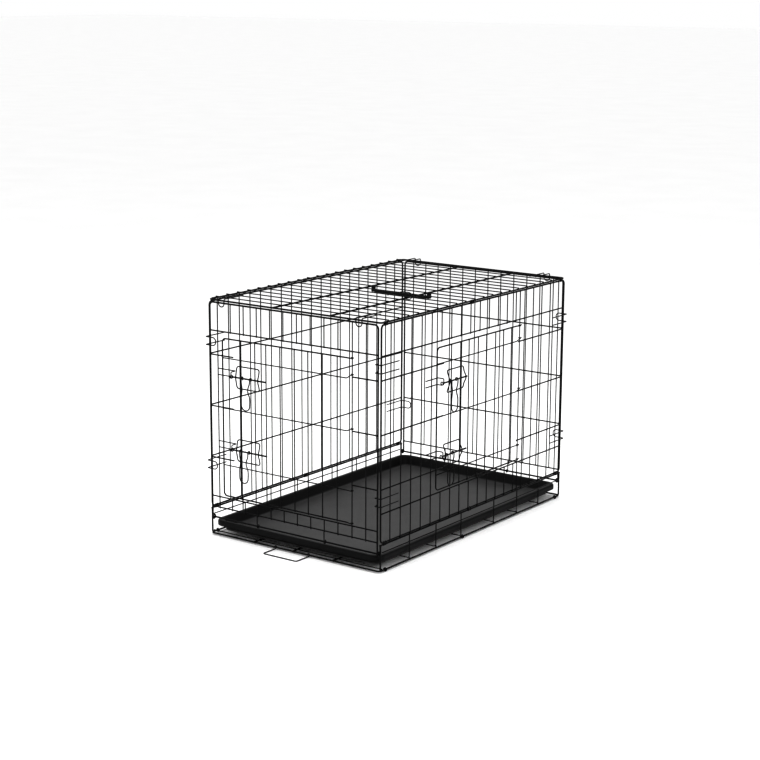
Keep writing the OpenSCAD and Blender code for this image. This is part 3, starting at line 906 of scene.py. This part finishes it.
def grip_foot(wire, bottom, top):
    """A foot of the grip: a block snapped over a carrying wire, open above."""
    x, z = wire.start.x, wire.start.z
    bore, half, slit = wire.radius + 0.12 * MM, 3.1 * MM, 1.1 * MM
    gap = math.asin(slit / bore)
    outline = []
    for k in range(SEAT_STEPS + 1):
        angle = math.pi / 2 + gap + (2 * math.pi - 2 * gap) * k / SEAT_STEPS
        outline.append((x + bore * math.cos(angle), z + bore * math.sin(angle)))
    corner = 0.7 * MM
    outline += [(x + slit, top), (x + half - corner, top), (x + half, top - corner),
                (x + half, bottom + corner), (x + half - corner, bottom), (x - half + corner, bottom),
                (x - half, bottom + corner), (x - half, top - corner), (x - half + corner, top),
                (x - slit, top)]
    rings = []
    depth, soft = 4.9 * MM, 0.4 * MM
    for y, shrink in ((-depth, soft), (soft - depth, 0), (depth - soft, 0), (depth, soft)):
        ring = []
        for px, pz in outline:
            dx = min(shrink, abs(px - x)) if abs(px - x) > bore else 0
            ring.append(Vector((px - math.copysign(dx, px - x), y, pz)))
        rings.append(ring)
    return loft(rings)


# ---------- camera, floor and light ----------

def camera():
    """A three-quarter viewpoint, scaled by the height from the floor wire to the top wire."""
    low = min(w.start.z for w in cad_wires("floor_frame")[0])
    height = max(w.start.z for w in cad_wires("top_frame")[0]) - low
    azimuth, elevation, roll = (math.radians(d) for d in (36.23, 12.44, 0.29))
    distance, right_by, up_by = 7.940 * height, -0.0537 * height, 0.0954 * height
    back = Vector((math.sin(azimuth) * math.cos(elevation),
                   -math.cos(azimuth) * math.cos(elevation), math.sin(elevation)))
    right = (-back).cross(UP).normalized()
    up = right.cross(-back)
    right, up = (math.cos(roll) * right + math.sin(roll) * up,
                 math.cos(roll) * up - math.sin(roll) * right)
    data = bpy.data.cameras.new("camera")
    data.sensor_width = 36.0
    data.lens = 86.76
    made = bpy.data.objects.new("camera", data)
    bpy.context.scene.collection.objects.link(made)
    middle = Vector((0, 0, low + height / 2))
    place = middle + back * distance + right * right_by + up * up_by
    axes = Matrix((right, up, back)).transposed()
    made.matrix_world = Matrix.Translation(place) @ axes.to_4x4()
    bpy.context.scene.camera = made


def area_light(name, place, aim, size, power):
    """A rectangular softbox at place that points at aim."""
    data = bpy.data.lights.new(name, "AREA")
    data.shape = "RECTANGLE"
    data.size, data.size_y = size
    data.energy = power
    made = bpy.data.objects.new(name, data)
    made.location = place
    made.rotation_euler = (Vector(aim) - Vector(place)).to_track_quat("-Z", "Y").to_euler()
    bpy.context.scene.collection.objects.link(made)


def studio():
    """White floor and surroundings, and three softboxes. The gamma deepens the thin dark wires."""
    floor_white = Nodes("studio_floor")
    white = floor_white.ramp(floor_white.noise(3, 3), [(0.3, 0.97), (0.7, 0.99)])
    floor_white.wear_to("Base Color", white)
    floor_white.shader.inputs["Roughness"].default_value = 0.9
    floor_white.shader.inputs["Specular IOR Level"].default_value = 0.1
    mesh = bpy.data.meshes.new("studio_floor")
    reach = 40.0
    mesh.from_pydata([(-reach, -reach, 0), (reach, -reach, 0), (reach, reach, 0), (-reach, reach, 0)],
                     [], [(0, 1, 2, 3)])
    mesh.materials.append(floor_white.material)
    ground = bpy.data.objects.new("studio_floor", mesh)
    bpy.context.scene.collection.objects.link(ground)
    world = bpy.data.worlds.new("studio_white")
    world.use_nodes = True
    sky = world.node_tree.nodes["Background"]
    sky.inputs["Color"].default_value = (1.0, 1.0, 1.0, 1)
    sky.inputs["Strength"].default_value = 1.0
    bpy.context.scene.world = world
    bpy.context.scene.view_settings.view_transform = "Standard"
    bpy.context.scene.view_settings.gamma = 0.7
    area_light("top_softbox", (0.3, -0.6, 2.6), (0, 0, 0.2), (2.6, 2.6), 34)
    area_light("left_softbox", (-2.4, -1.6, 1.5), (0, 0, 0.3), (1.4, 1.8), 16)
    area_light("right_softbox", (2.6, -0.8, 1.4), (0, 0, 0.3), (1.4, 1.8), 12)


camera()
studio()
panels()
clips()
door("front_door", FRONT, "front_door_post")
door("side_door", RIGHT, "right_door_post")
latches("front", "front_door", "front_strikes", FRONT)
latches("side", "side_door", "right_strikes", RIGHT)
tray_stop()
tray()
grip()
